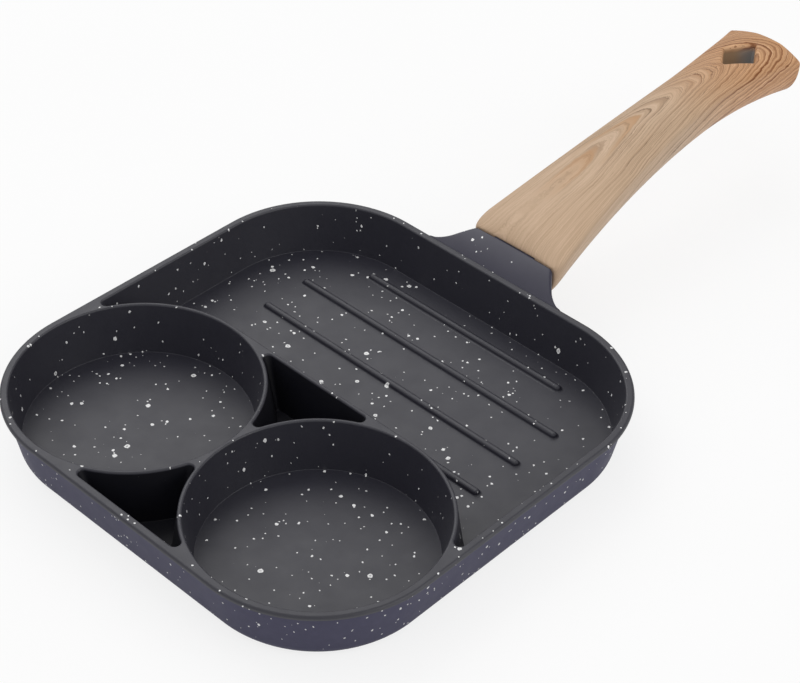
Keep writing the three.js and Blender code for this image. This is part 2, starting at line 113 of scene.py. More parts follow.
# Grip, with heights above the rim and places measured along +Y from its front face
GRIP_ROOT_WIDTH = 45 * MM
GRIP_WAIST_WIDTH = 24.8 * MM
GRIP_END_WIDTH = 36.2 * MM
GRIP_ROOT_EDGE_HEIGHT = 4.9 * MM
GRIP_PEAK_EDGE_HEIGHT = 28.5 * MM
GRIP_WAIST_PLACE = 109.6 * MM
GRIP_PEAK_PLACE = 133.3 * MM
GRIP_BOW = 1.75
GRIP_CROWN = 2.7 * MM
GRIP_EDGE = 2 * MM
GRIP_SIDE_DEPTH = 17 * MM
GRIP_SIDE_FLAT = 1.5 * MM
GRIP_UNDER_SHARE = 0.62
GRIP_FRONT_ROUND = 9 * MM
GRIP_TIP_WIDTH = 12.8 * MM
GRIP_TIP_CHAMFER = 2.3 * MM
GRIP_TIP_RUN = 14 * MM
GRIP_TIP_ROUND = 0.9 * MM

# Diamond hanging hole
HOLE_LENGTH = 23.6 * MM
HOLE_WIDTH = 15.2 * MM
HOLE_FROM_END = 22 * MM
HOLE_CORNER = 0.8 * MM
HOLE_EDGE = 1.8 * MM

# Tang, which is cast with the pan, and the holes for the screw below it
TANG_WIDTH = 20 * MM
TANG_THICKNESS = 5 * MM
TANG_LENGTH = 34 * MM
TANG_ROOT = 0.5 * MM
TANG_COVER = 0.6 * MM
TANG_TILT = math.radians(15)
SCREW_PLACE = 22 * MM
SCREW_HOLE = 5.6 * MM
COUNTERBORE = 10.6 * MM
SEAT_WALL = 3.6 * MM

# How finely the round stretches are cut, and how far a cut runs past a face
FILLET_STEPS = 10
EDGE_STEPS = 6
CORNER_STEPS = 40
WELL_STEPS = 180
ARC_STEPS = 48
SMALL_CORNER_STEPS = 10
LUG_STATIONS = 80
GRIP_STATIONS = 90
CROWN_STEPS = 24
UNDER_STEPS = 22
HOLE_SIDE_STEPS = 12
PIN_STEPS = 64
TIP_CAP_STEPS = 7
TIP_CAP_SHARES = (0.9, 0.06)
CUT_PAST = 2 * MM
SHARP_ANGLE = math.radians(38)

# Places worked out from the sizes above
INNER_HALF_WIDTH = HALF_WIDTH - RIM_WIDTH
INNER_HALF_LENGTH = HALF_LENGTH - RIM_WIDTH
WELL_RADIUS = (INNER_HALF_WIDTH - WEB_WIDTH / 2) / 2
WELL_X = WELL_RADIUS + WEB_WIDTH / 2
WELL_Y = WELL_RADIUS - INNER_HALF_LENGTH
WELL_WALL_RADIUS = WELL_RADIUS + WEB_WIDTH
JOINT_Y = GRIP_START - FIT_GAP
LUG_WALL_Y = HALF_LENGTH - LIP_STEP
HOLE_MIDDLE = GRIP_END - HOLE_FROM_END

# Material slots of the pan's mesh and of the grip's mesh
OUTSIDE, INSIDE, LUG, POCKET, BASE = range(5)
FILM, HOLE = range(2)


# Meshes

def shares(steps):
    """Even shares from 0 to 1, both ends included."""
    return [step / steps for step in range(steps + 1)]


def quarter_angles(steps):
    """Even angles from 0 to a right angle, both ends included."""
    return [share * RIGHT_ANGLE for share in shares(steps)]


def lerp(start, end, share):
    return start + (end - start) * share


def ellipse(centre_x, centre_y, radius_x, radius_y, start, end, steps):
    angles = [lerp(start, end, share) for share in shares(steps)]
    return [(centre_x + radius_x * math.cos(a), centre_y + radius_y * math.sin(a)) for a in angles]


def arc(centre_x, centre_y, radius, start, end, steps):
    return ellipse(centre_x, centre_y, radius, radius, start, end, steps)


def mesh_object(name, points, faces, coats=(), slots=()):
    mesh = bpy.data.meshes.new(name)
    mesh.from_pydata(points, [], faces)
    for coat_material in coats:
        mesh.materials.append(coat_material)
    if slots:
        mesh.polygons.foreach_set("material_index", slots)
    piece = bpy.data.objects.new(name, mesh)
    bpy.context.scene.collection.objects.link(piece)
    return piece


def loft(name, rings, coats, ring_slots=None, cap_slots=(0, 0)):
    """Closed solid through rings of equally many points; each band between two rings has a coat's slot."""
    count = len(rings[0])
    last = (len(rings) - 1) * count
    faces = []
    slots = []
    for band in range(len(rings) - 1):
        for side in range(count):
            here = band * count + side
            after = band * count + (side + 1) % count
            faces.append((here, after, after + count, here + count))
            slots.append(ring_slots[band] if ring_slots else cap_slots[0])
    faces.append(tuple(reversed(range(count))))
    faces.append(tuple(range(last, last + count)))
    slots.extend(cap_slots)
    return mesh_object(name, [point for ring in rings for point in ring], faces, coats, slots)


def combine(piece, tool, operation):
    """Joins the tool to the piece, or cuts it from the piece, and removes the tool."""
    step = piece.modifiers.new(operation.lower(), "BOOLEAN")
    step.operation = operation
    step.solver = "MANIFOLD"
    step.object = tool
    evaluated = piece.evaluated_get(bpy.context.evaluated_depsgraph_get())
    shape = bpy.data.meshes.new_from_object(evaluated)
    piece.modifiers.clear()
    old = piece.data
    piece.data = shape
    shape.name = piece.name
    bpy.data.meshes.remove(old)
    bpy.data.objects.remove(tool)


def finish_surface(piece):
    """Smooth shading that keeps flats flat and creases crisp."""
    mesh = piece.data
    mesh.polygons.foreach_set("use_smooth", [True] * len(mesh.polygons))
    mesh.set_sharp_from_angle(angle=SHARP_ANGLE)
    step = piece.modifiers.new("even_normals", "WEIGHTED_NORMAL")
    step.keep_sharp = True


# Levels of the casting

def foot_levels(radius, draft, foot_z, top_z, top_inset):
    """Heights and insets of the round between a flat and the leaning wall that rises from it."""
    rise = top_z - foot_z - radius * (1 - math.sin(draft))
    centre = top_inset + rise * math.tan(draft) + radius * math.cos(draft)
    angles = [share * (RIGHT_ANGLE - draft) for share in shares(FILLET_STEPS)]
    return [(foot_z + radius * (1 - math.cos(a)), centre - radius * math.sin(a)) for a in angles]


def top_levels(radius, towards_middle):
    """Heights and insets of the round between a wall and the rim's flat top."""
    return [
        (PAN_HEIGHT - radius * (1 - math.sin(angle)), towards_middle * radius * (1 - math.cos(angle)))
        for angle in quarter_angles(EDGE_STEPS)
    ]


def loft_levels(name, levels, outline, ring_slots=None, cap_slots=(0, 0)):
    rings = [[(x, y, z) for x, y in outline(inset)] for z, inset in levels]
    return loft(name, rings, PAN_COATS, ring_slots, cap_slots)


def pan_outline(inset):
    x = HALF_WIDTH - CORNER_RADIUS
    y = HALF_LENGTH - CORNER_RADIUS
    radius = CORNER_RADIUS - inset
    outline = []
    for turn, (side_x, side_y) in enumerate([(x, y), (-x, y), (-x, -y), (x, -y)]):
        outline += arc(side_x, side_y, radius, turn * RIGHT_ANGLE, (turn + 1) * RIGHT_ANGLE, CORNER_STEPS)
    return outline


def outer_body():
    lip_z = PAN_HEIGHT - LIP_HEIGHT
    wall = foot_levels(BASE_ROUND, OUTER_DRAFT, 0, lip_z, LIP_STEP) + [(lip_z, LIP_STEP)]
    lip = [(lip_z + LIP_UNDERCUT, 0)] + top_levels(LIP_ROUND, 1)
    ring_slots = [OUTSIDE] * len(wall) + [INSIDE] * (len(lip) - 1)
    return loft_levels("pan", wall + lip, pan_outline, ring_slots, (BASE, INSIDE))


def recess(outline, slot):
    """Solid of a recess from its floor to past the rim, wider where the rim's edge is rounded."""
    wall = foot_levels(FLOOR_FILLET, INNER_DRAFT, FLOOR_THICKNESS, PAN_HEIGHT, 0)
    edge = top_levels(EDGE_ROUND, -1) + [(PAN_HEIGHT + CUT_PAST, -EDGE_ROUND)]
    ring_slots = [slot] * len(wall) + [INSIDE] * (len(edge) - 1)
    return loft_levels("recess", wall + edge, outline, ring_slots, (slot, INSIDE))


def well_outline(side, inset):
    return arc(side * WELL_X, WELL_Y, WELL_RADIUS - inset, 0, FULL_TURN, WELL_STEPS)[:-1]


def corner_radius(inset):
    """Small round in a sharp corner; deep in the recess it gets tighter, down to a least radius."""
    return max(POCKET_CORNER - inset, POCKET_CORNER_LEAST)


def grill_outline(inset):
    """Long compartment: the back corners, the wells' outer walls and the partition that touches both."""
    back_x = HALF_WIDTH - CORNER_RADIUS
    back_y = HALF_LENGTH - CORNER_RADIUS
    back_radius = CORNER_RADIUS - RIM_WIDTH - inset
    small = corner_radius(inset)
    corner_x = INNER_HALF_WIDTH - inset - small
    reach = WELL_WALL_RADIUS + inset
    corner_y = WELL_Y + math.sqrt((reach + small) ** 2 - (corner_x - WELL_X) ** 2)
    lean = math.atan2(corner_y - WELL_Y, corner_x - WELL_X)
    return [
        *arc(back_x, back_y, back_radius, 0, RIGHT_ANGLE, CORNER_STEPS),
        *arc(-back_x, back_y, back_radius, RIGHT_ANGLE, HALF_TURN, CORNER_STEPS),
        *arc(-corner_x, corner_y, small, HALF_TURN, FULL_TURN - lean, SMALL_CORNER_STEPS),
        *arc(-WELL_X, WELL_Y, reach, HALF_TURN - lean, RIGHT_ANGLE, ARC_STEPS)[1:],
        *arc(WELL_X, WELL_Y, reach, RIGHT_ANGLE, lean, ARC_STEPS)[:-1],
        *arc(corner_x, corner_y, small, HALF_TURN + lean, FULL_TURN, SMALL_CORNER_STEPS),
    ]


def pocket_outline(inset):
    """Three-cornered pocket between the two wells and a straight wall, drawn from the wells' centre line."""
    small = corner_radius(inset)
    reach = WELL_WALL_RADIUS + inset
    span = reach + small
    wall_y = WELL_RADIUS - inset - small
    wall_angle = math.asin(wall_y / span)
    wall_x = WELL_X - span * math.cos(wall_angle)
    tip_angle = math.acos(WELL_X / span)
    tip_y = span * math.sin(tip_angle)
    return [
        *arc(wall_x, wall_y, small, -wall_angle, RIGHT_ANGLE, SMALL_CORNER_STEPS),
        *arc(-wall_x, wall_y, small, RIGHT_ANGLE, HALF_TURN + wall_angle, SMALL_CORNER_STEPS),
        *arc(-WELL_X, 0, reach, wall_angle, tip_angle, ARC_STEPS)[1:-1],
        *arc(0, tip_y, small, HALF_TURN + tip_angle, FULL_TURN - tip_angle, SMALL_CORNER_STEPS),
        *arc(WELL_X, 0, reach, HALF_TURN - tip_angle, HALF_TURN - wall_angle, ARC_STEPS)[1:-1],
    ]


def centre_pocket_outline(inset):
    return [(x, WELL_Y + y) for x, y in pocket_outline(inset)]


def front_pocket_outline(inset):
    return [(x, WELL_Y - y) for x, y in reversed(pocket_outline(inset))]


def rib(half_length, y):
    """Rib with a round top and a small round at its foot, as rings from the floor upwards."""
    half = RIB_WIDTH / 2
    straight = half_length - half
    top = FLOOR_THICKNESS + RIB_HEIGHT
    levels = [(FLOOR_THICKNESS - RIB_FOOT, -RIB_FOOT)]
    for angle in quarter_angles(EDGE_STEPS):
        levels.append((FLOOR_THICKNESS + RIB_FOOT * (1 - math.cos(angle)), -RIB_FOOT * (1 - math.sin(angle))))
    for angle in quarter_angles(EDGE_STEPS):
        levels.append((top - RIB_ROUND * (1 - math.sin(angle)), RIB_ROUND * (1 - math.cos(angle))))

    def outline(inset):
        right = arc(straight, y, half - inset, -RIGHT_ANGLE, RIGHT_ANGLE, CORNER_STEPS)
        return right + arc(-straight, y, half - inset, RIGHT_ANGLE, 3 * RIGHT_ANGLE, CORNER_STEPS)

    return loft_levels("rib", levels, outline, cap_slots=(INSIDE, INSIDE))


def ribs():
    first = WELL_Y + WELL_WALL_RADIUS + RIB_WALL_GAP
    last = INNER_HALF_LENGTH - RIB_WALL_GAP
    pieces = []
    for index, share in enumerate(shares(RIB_COUNT - 1)):
        end_gap = LAST_RIB_END_GAP if index == RIB_COUNT - 1 else RIB_END_GAP
        pieces.append(rib(INNER_HALF_WIDTH - end_gap, lerp(first, last, share)))
    return pieces


# Sections across the handle

JOINT_SECTION = {
    "half_width": JOINT_WIDTH / 2,
    "edge_height": PAN_HEIGHT + JOINT_TOP - JOINT_CROWN - JOINT_CORNER,
    "crown": JOINT_CROWN,
    "edge": JOINT_CORNER,
    "bottom": PAN_HEIGHT + JOINT_TOP - JOINT_DEPTH,
    "under_width": JOINT_UNDER_WIDTH,
    "under_height": JOINT_UNDER_HEIGHT,
}


def section(half_width, edge_height, crown, edge, bottom, under_width, under_height):
    """Upright section: a crowned top, round upper edges and elliptic corners below, as points of x and z."""
    edge_x = half_width - edge
    rise = crown + edge
    crown_radius = (edge_x ** 2 + rise ** 2 - edge ** 2) / (2 * crown)
    crown_centre = edge_height + rise - crown_radius
    lean = math.atan2(edge_height - crown_centre, edge_x)
    under_x = half_width - under_width
    under_z = bottom + under_height
    outline = [
        *arc(edge_x, edge_height, edge, 0, lean, SMALL_CORNER_STEPS),
        *arc(0, crown_centre, crown_radius, lean, HALF_TURN - lean, CROWN_STEPS)[1:-1],
        *arc(-edge_x, edge_height, edge, HALF_TURN - lean, HALF_TURN, SMALL_CORNER_STEPS),
        *ellipse(-under_x, under_z, under_width, under_height, HALF_TURN, 3 * RIGHT_ANGLE, UNDER_STEPS),
        *ellipse(under_x, under_z, under_width, under_height, 3 * RIGHT_ANGLE, FULL_TURN, UNDER_STEPS),
    ]
    return outline[::-1]


def draw_in(sizes, inset):
    """Sizes of the same section, with its sides and its bottom drawn in by an inset."""
    drawn = dict(sizes)
    for name in ("half_width", "edge", "under_width", "under_height"):
        drawn[name] -= inset
    drawn["bottom"] += inset
    return drawn


def back_face(z):
    """Place along +Y of the pan's back face at a height: the lip, or the leaning wall below it."""
    below = max(PAN_HEIGHT - LIP_HEIGHT - z, 0)
    return HALF_LENGTH - min(below, LIP_STEP) - below * math.tan(OUTER_DRAFT)


def lug_flare(distance):
    """How far the lug's sides flare out at a distance behind the pan's back face."""
    run = LUG_FLARE - min(max(distance, 0), LUG_FLARE)
    return LUG_FLARE - math.sqrt(LUG_FLARE ** 2 - run ** 2)


def lug_sizes(y):
    """Sizes of the lug's section at a place along +Y, without the flare; its top bows down to the rim."""
    short = min((JOINT_Y - y) / (JOINT_Y - LUG_WALL_Y), 1)
    spread = short ** LUG_BOW
    sizes = dict(JOINT_SECTION)
    sizes["half_width"] += LUG_SPREAD * spread
    sizes["edge_height"] -= short ** LUG_TOP_BOW * (LUG_ROOT_DROP + JOINT_TOP)
    sizes["bottom"] -= LUG_UNDER_SPREAD * spread
    return sizes


def lug_ring(y, inset=0.0):
    """Ring of the lug at a place along +Y, drawn in by an inset, with its sides flared out to the pan."""
    sizes = draw_in(lug_sizes(y), inset)
    ring = []
    for x, z in section(**sizes):
        widening = 1 + lug_flare(y - back_face(z)) / sizes["half_width"]
        ring.append((x * widening, y, z))
    return ring


def lug():
    start = LUG_WALL_Y - LUG_ROOT
    rings = [lug_ring(lerp(start, JOINT_Y - LUG_END_ROUND, share)) for share in shares(LUG_STATIONS)]
    for angle in quarter_angles(EDGE_STEPS)[1:]:
        y = JOINT_Y - LUG_END_ROUND * (1 - math.sin(angle))
        rings.append(lug_ring(y, LUG_END_ROUND * (1 - math.cos(angle))))
    piece = loft("lug", rings, PAN_COATS, cap_slots=(LUG, LUG))
    for face in piece.data.polygons:
        if face.normal.z < LUG_LEAST_UP:
            face.material_index = OUTSIDE
    return piece


def grip_sizes(along):
    """Sizes of the grip's section at a distance from its front face, before the front is rounded."""
    end_run = GRIP_LENGTH - GRIP_TIP_CHAMFER - GRIP_WAIST_PLACE
    before = max(GRIP_WAIST_PLACE - along, 0) / GRIP_WAIST_PLACE
    behind = max(along - GRIP_WAIST_PLACE, 0) / end_run
    towards_root = (GRIP_ROOT_WIDTH - GRIP_WAIST_WIDTH) * before ** GRIP_BOW
    towards_end = (GRIP_END_WIDTH - GRIP_WAIST_WIDTH) * behind ** GRIP_BOW
    half_width = (GRIP_WAIST_WIDTH + towards_root + towards_end) / 2
    from_peak = abs(GRIP_PEAK_PLACE - along) / GRIP_PEAK_PLACE
    edge_height = PAN_HEIGHT + lerp(GRIP_PEAK_EDGE_HEIGHT, GRIP_ROOT_EDGE_HEIGHT, from_peak ** GRIP_BOW)
    return {
        "half_width": half_width,
        "edge_height": edge_height,
        "crown": GRIP_CROWN,
        "edge": GRIP_EDGE,
        "bottom": edge_height - GRIP_SIDE_DEPTH,
        "under_width": GRIP_UNDER_SHARE * half_width,
        "under_height": GRIP_SIDE_DEPTH - GRIP_SIDE_FLAT,
    }


def tip_pull(x):
    """How far the blunt point's slanted sides lie before the grip's end."""
    slope = GRIP_TIP_CHAMFER / (GRIP_END_WIDTH - GRIP_TIP_WIDTH) * 2
    return slope * max(abs(x) - GRIP_TIP_WIDTH / 2, 0)


def grip_ring(along, inset=0.0):
    """Ring of the grip at a distance from its front face, drawn in by an inset and pointed at the tip."""
    short = max(1 - along / GRIP_FRONT_ROUND, 0)
    grown = math.sqrt(1 - short ** 2)
    full = grip_sizes(along)
    sizes = {name: lerp(JOINT_SECTION[name], full[name], grown) for name in full}
    sizes = draw_in(sizes, inset)
    pulled = max(along + GRIP_TIP_RUN - GRIP_LENGTH, 0) / GRIP_TIP_RUN
    return [(x, GRIP_START + along - tip_pull(x) * pulled, z) for x, z in section(**sizes)]


def tip_cap_rings(ring):
    """Rings that close the tip, shrinking towards the middle of its end face."""
    heights = [z for _, _, z in ring]
    middle_z = (min(heights) + max(heights)) / 2
    rings = []
    for step in shares(TIP_CAP_STEPS):
        share = lerp(*TIP_CAP_SHARES, step)
        rings.append([
            (x * share, GRIP_END - tip_pull(x * share), lerp(middle_z, z, share)) for x, _, z in ring
        ])
    return rings


def grip_top(x, along):
    """Height of the grip's crowned top."""
    sizes = grip_sizes(along)
    edge_x = sizes["half_width"] - GRIP_EDGE
    rise = GRIP_CROWN + GRIP_EDGE
    radius = (edge_x ** 2 + rise ** 2 - GRIP_EDGE ** 2) / (2 * GRIP_CROWN)
    return sizes["edge_height"] + rise - radius + math.sqrt(radius ** 2 - x ** 2)


def grip_underside(x, along):
    """Height of the grip's underside between its sides."""
    sizes = grip_sizes(along)
    outwards = max(abs(x) - sizes["half_width"] + sizes["under_width"], 0) / sizes["under_width"]
    return sizes["bottom"] + sizes["under_height"] * (1 - math.sqrt(max(1 - outwards ** 2, 0)))


def hole_outline(grow):
    """Diamond of the hanging hole, grown all round, with small round corners."""
    half_width = HOLE_WIDTH / 2
    half_length = HOLE_LENGTH / 2
    slant = math.hypot(half_width, half_length)
    side_turn = math.atan2(half_width, half_length)
    end_reach = half_length - HOLE_CORNER * slant / half_width
    side_reach = half_width - HOLE_CORNER * slant / half_length
    radius = HOLE_CORNER + grow
    corners = [
        (side_reach, 0, 0),
        (0, end_reach, RIGHT_ANGLE),
        (-side_reach, 0, HALF_TURN),
        (0, -end_reach, 3 * RIGHT_ANGLE),
    ]
    outline = []
    for (x, y, facing), (next_x, next_y, _) in zip(corners, corners[1:] + corners[:1]):
        spread = side_turn if y == 0 else RIGHT_ANGLE - side_turn
        leaving = facing + spread
        outline += arc(x, HOLE_MIDDLE + y, radius, facing - spread, leaving, SMALL_CORNER_STEPS)
        start_x, start_y = outline[-1]
        end_x = next_x + radius * math.cos(leaving)
        end_y = HOLE_MIDDLE + next_y + radius * math.sin(leaving)
        for share in shares(HOLE_SIDE_STEPS)[1:-1]:
            outline.append((lerp(start_x, end_x, share), lerp(start_y, end_y, share)))
    return outline


def hanging_hole():
    """Solid of the hole, flared where it meets the grip's top and underside."""
    rises = [
        (HOLE_EDGE * (1 - math.sin(angle)), HOLE_EDGE * (1 - math.cos(angle)))
        for angle in quarter_angles(EDGE_STEPS)
    ]
    rings = [[(x, y, grip_underside(x, y - GRIP_START) - CUT_PAST) for x, y in hole_outline(HOLE_EDGE)]]
    for depth, grow in reversed(rises):
        rings.append([(x, y, grip_underside(x, y - GRIP_START) + depth) for x, y in hole_outline(grow)])
    for depth, grow in rises:
        rings.append([(x, y, grip_top(x, y - GRIP_START) - depth) for x, y in hole_outline(grow)])
    rings.append([(x, y, grip_top(x, y - GRIP_START) + CUT_PAST) for x, y in hole_outline(HOLE_EDGE)])
    return loft("hole", rings, GRIP_COATS, cap_slots=(HOLE, HOLE))


TANG_FRAME = (
    Matrix.Translation((0, JOINT_Y, PAN_HEIGHT + JOINT_TOP - TANG_COVER - TANG_THICKNESS / 2))
    @ Matrix.Rotation(TANG_TILT, 4, "X")
)


def on_tang(points):
    return [tuple(TANG_FRAME @ Vector(point)) for point in points]


def tang_bar(clearance, before, coats):
    """Bar along the tang's frame, grown all round by a clearance, from a place before the joint."""
    x = TANG_WIDTH / 2 + clearance
    z = TANG_THICKNESS / 2 + clearance
    corners = [(x, z), (-x, z), (-x, -z), (x, -z)]
    ends = (-before, TANG_LENGTH + clearance)
    return loft("tang", [on_tang([(px, y, pz) for px, pz in corners]) for y in ends], coats)


def screw_cut(diameter, low, high, coats):
    """Round cut along the screw's axis, between two heights in the tang's frame."""
    circle = arc(0, SCREW_PLACE, diameter / 2, 0, FULL_TURN, PIN_STEPS)[:-1]
    return loft("screw_cut", [on_tang([(x, y, z) for x, y in circle]) for z in (low, high)], coats)


def pan_body():
    pan = outer_body()
    combine(pan, lug(), "UNION")
    combine(pan, tang_bar(0, TANG_ROOT, PAN_COATS), "UNION")
    for side in (-1, 1):
        combine(pan, recess(lambda inset: well_outline(side, inset), INSIDE), "DIFFERENCE")
    combine(pan, recess(grill_outline, INSIDE), "DIFFERENCE")
    # The pockets get the pocket coat, whose dark tones are painted shade.
    for outline in (centre_pocket_outline, front_pocket_outline):
        combine(pan, recess(outline, POCKET), "DIFFERENCE")
    for bar in ribs():
        combine(pan, bar, "UNION")
    combine(pan, screw_cut(SCREW_HOLE, -TANG_THICKNESS, TANG_THICKNESS, PAN_COATS), "DIFFERENCE")
    finish_surface(pan)
    return pan


def handle_grip():
    front = [GRIP_FRONT_ROUND * share ** 2 for share in shares(FILLET_STEPS)]
    rest = [lerp(GRIP_FRONT_ROUND, GRIP_LENGTH - GRIP_TIP_ROUND, share) for share in shares(GRIP_STATIONS)]
    rings = [grip_ring(along) for along in front + rest[1:]]
    for angle in quarter_angles(EDGE_STEPS)[1:]:
        along = GRIP_LENGTH - GRIP_TIP_ROUND * (1 - math.sin(angle))
        rings.append(grip_ring(along, GRIP_TIP_ROUND * (1 - math.cos(angle))))
    rings += tip_cap_rings(rings[-1])
    grip = loft("grip", rings, GRIP_COATS, cap_slots=(FILM, FILM))
    seat_z = -TANG_THICKNESS / 2 - FIT_GAP - SEAT_WALL
    combine(grip, tang_bar(FIT_GAP, CUT_PAST, GRIP_COATS), "DIFFERENCE")
    combine(grip, screw_cut(SCREW_HOLE, seat_z - CUT_PAST, 0, GRIP_COATS), "DIFFERENCE")
    combine(grip, screw_cut(COUNTERBORE, seat_z - GRIP_SIDE_DEPTH, seat_z, GRIP_COATS), "DIFFERENCE")
    combine(grip, hanging_hole(), "DIFFERENCE")
    finish_surface(grip)
    return grip


# Materials; most of a noise's values lie in its band

NOISE_BAND = (0.3, 0.7)


class Nodes:
    """Builds the node tree of one material."""

    def __init__(self, name):
        self.material = bpy.data.materials.new(name)
        self.material.use_nodes = True
        self.tree = self.material.node_tree
        self.tree.nodes.clear()

    def add(self, kind, inputs, **settings):
        node = self.tree.nodes.new("ShaderNode" + kind)
        for name, value in settings.items():
            setattr(node, name, value)
        for name, value in inputs.items():
            if isinstance(value, bpy.types.NodeSocket):
                self.tree.links.new(value, node.inputs[name])
            else:
                node.inputs[name].default_value = value
        return node

    def math(self, operation, *values):
        return self.add("Math", dict(enumerate(values)), operation=operation).outputs[0]

    def vector(self, operation, *values):
        return self.add("VectorMath", dict(enumerate(values)), operation=operation).outputs[0]

    def split(self, vector):
        return self.add("SeparateXYZ", {0: vector}).outputs

    def spread(self, value, low, high, start=0.0, end=1.0, smooth=False):
        """Maps a value from low..high to start..end, clamped."""
        inputs = {"Value": value, "From Min": low, "From Max": high, "To Min": start, "To Max": end}
        kind = "SMOOTHSTEP" if smooth else "LINEAR"
        return self.add("MapRange", inputs, interpolation_type=kind).outputs[0]

    def mix(self, factor, first, second):
        inputs = {"Factor": factor, 6: first, 7: second}
        return self.add("Mix", inputs, data_type="RGBA").outputs[2]

    def noise(self, place, waves, detail, output="Fac"):
        """Noise with about so many waves along a millimetre."""
        inputs = {"Vector": place, "Scale": waves, "Detail": detail}
        return self.add("TexNoise", inputs).outputs[output]

    def centred_noise(self, place, waves, detail):
        """Noise from about -0.5 to 0.5, in three parts."""
        return self.vector("SUBTRACT", self.noise(place, waves, detail, "Color"), (0.5, 0.5, 0.5))

    def place(self):
        """Place on the object in millimetres."""
        coordinates = self.add("TexCoord", {}).outputs["Object"]
        return self.vector("MULTIPLY", coordinates, (1 / MM, 1 / MM, 1 / MM))

    def bump(self, height, strength, distance):
        return self.add("Bump", {"Height": height, "Strength": strength, "Distance": distance}).outputs[0]

    def surface(self, **inputs):
        shader = self.add("BsdfPrincipled", {name.replace("_", " "): value for name, value in inputs.items()})
        self.add("OutputMaterial", {"Surface": shader.outputs[0]})
        return self.material


# Specks, in millimetres: spacing, largest radius, share of the places that have one, and tone of its middle
INSIDE_SPECKS = ((2.9, 0.44, 0.55, 1.0), (4.6, 0.70, 0.45, 0.8), (9.0, 1.20, 0.50, 0.45))
OUTSIDE_SPECKS = ((1.8, 0.44, 0.30, 1.0), (3.8, 0.70, 0.50, 1.0))
POCKET_SPECKS = ((5.0, 0.40, 0.30, 1.0),)
SPECK_STRETCH = 0.75
SPECK_WANDER = 0.8
SPECK_WANDER_WAVES = 1.1
SPECK_LEAST = 0.65
SPECK_FADE = 0.85
SPECK_MIDDLE = (0.2, 0.55)
SPECK_DULLEST = 0.75
WALL_SPECK_SIZE = 0.8
WALL_TO_FLOOR = (0.3, 0.9)
CROWD_WAVES = 0.05
CROWD_BAND = (0.35, 0.65)
CROWD_SHARES = (0.55, 1.5)

# Coats, from their darker to their lighter tone
OUTSIDE_TONES = ((0.067, 0.0655, 0.103, 1), (0.082, 0.0800, 0.125, 1))
INSIDE_TONES = ((0.015, 0.0146, 0.024, 1), (0.020, 0.0195, 0.031, 1))
LUG_TONES = ((0.020, 0.0185, 0.038, 1), (0.026, 0.0245, 0.047, 1))
# The pocket tones are the inside coat painted far darker: painted shade of the deep pockets.
POCKET_SHADE_TONES = ((0.005, 0.005, 0.008, 1), (0.007, 0.007, 0.011, 1))
COAT_TONE_WAVES = 0.35
COAT_GLOSS_WAVES = 0.12
COAT_GLOSS_SWING = 0.03
COAT_GRAIN_WAVES = 1.4
COAT_GRAIN_STRENGTH = 0.12
COAT_GRAIN_HEIGHT = 0.05 * MM


def specks(nodes, place, size, spacing, radius, share, middle):
    """Round to oval specks: how much of one shows at a place, and how pale it is there."""
    cells = nodes.add("TexVoronoi", {"Vector": place, "Scale": 1 / spacing})
    traits = nodes.add("SeparateColor", {"Color": cells.outputs["Color"]}).outputs
    chosen = nodes.math("LESS_THAN", traits[0], share)
    largest = radius / spacing
    reach = nodes.math("MULTIPLY", size, nodes.spread(traits[1], 0, 1, SPECK_LEAST * largest, largest))
    part = nodes.math("DIVIDE", cells.outputs["Distance"], reach)
    shown = nodes.math("MULTIPLY", chosen, nodes.spread(part, 1, SPECK_FADE))
    hollow = nodes.spread(part, *SPECK_MIDDLE, middle, 1)
    pale = nodes.math("MULTIPLY", hollow, nodes.spread(traits[2], 0, 1, SPECK_DULLEST, 1))
    return shown, pale


def coat(name, tones, speck_sizes, roughness, ior, speck_tone):
    """Satin non-stick coat with scattered pale specks, smaller on the upright walls."""
    nodes = Nodes(name)
    place = nodes.place()
    ragged = nodes.centred_noise(place, SPECK_WANDER_WAVES, detail=1.0)
    wander = nodes.vector("MULTIPLY", ragged, (SPECK_WANDER, SPECK_WANDER, SPECK_WANDER))
    speck_place = nodes.vector("MULTIPLY", nodes.vector("ADD", place, wander), (1, 1, SPECK_STRETCH))
    facing = nodes.split(nodes.add("NewGeometry", {}).outputs["True Normal"])
    size = nodes.spread(facing[2], *WALL_TO_FLOOR, WALL_SPECK_SIZE, 1)
    crowd = nodes.spread(nodes.noise(place, CROWD_WAVES, detail=1.0), *CROWD_BAND, *CROWD_SHARES)
    colour = nodes.mix(nodes.noise(place, COAT_TONE_WAVES, detail=3.0), *tones)
    for spacing, radius, share, middle in speck_sizes:
        limit = nodes.math("MULTIPLY", crowd, share)
        shown, pale = specks(nodes, speck_place, size, spacing, radius, limit, middle)
        tone = nodes.math("MULTIPLY", pale, speck_tone)
        paint = nodes.add("CombineColor", {0: tone, 1: tone, 2: tone}).outputs[0]
        colour = nodes.mix(shown, colour, paint)
    cloud = nodes.noise(place, COAT_GLOSS_WAVES, detail=2.0)
    gloss = (roughness - COAT_GLOSS_SWING, roughness + COAT_GLOSS_SWING)
    grain = nodes.noise(place, COAT_GRAIN_WAVES, detail=3.0)
    return nodes.surface(
        Base_Color=colour,
        Roughness=nodes.spread(cloud, *NOISE_BAND, *gloss),
        IOR=ior,
        Normal=nodes.bump(grain, COAT_GRAIN_STRENGTH, COAT_GRAIN_HEIGHT),
    )


